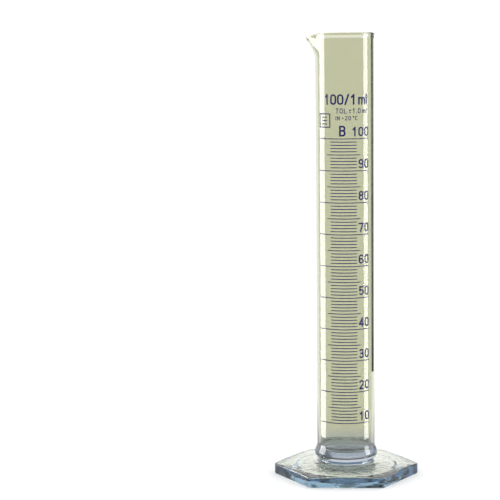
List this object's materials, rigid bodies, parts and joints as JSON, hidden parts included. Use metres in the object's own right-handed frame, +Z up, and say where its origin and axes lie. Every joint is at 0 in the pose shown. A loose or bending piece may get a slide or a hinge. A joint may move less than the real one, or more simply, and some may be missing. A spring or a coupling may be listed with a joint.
{
  "type": "graduated cylinder",
  "caption": "100 ml glass measuring cylinder with a pulled spout, a hexagonal foot and a blue enamel scale in 1 ml steps.",
  "frame": {"origin": "middle of the foot's underside, on the surface it stands on", "axes": "+Z up along the tube, the scale faces -Y, the spout points towards -X, and two flats of the foot face -Y and +Y"},
  "size_m": [0.0756, 0.0666, 0.2323],
  "materials": {
    "borosilicate_glass": "clear, fire polished",
    "blue_enamel": "fired enamel, slightly glossy"
  },
  "bodies": {
    "root": {"measuring_tube": "borosilicate_glass", "hex_foot": "borosilicate_glass", "ten_ml_marks": "blue_enamel", "five_ml_marks": "blue_enamel", "one_ml_marks": "blue_enamel", "numeral_10": "blue_enamel", "numeral_20": "blue_enamel", "numeral_30": "blue_enamel", "numeral_40": "blue_enamel", "numeral_50": "blue_enamel", "numeral_60": "blue_enamel", "numeral_70": "blue_enamel", "numeral_80": "blue_enamel", "numeral_90": "blue_enamel", "numeral_100": "blue_enamel", "capacity_title": "blue_enamel", "class_letter": "blue_enamel", "tolerance_label": "blue_enamel", "temperature_label": "blue_enamel", "level_emblem": "blue_enamel"}
  },
  "joints": []
}
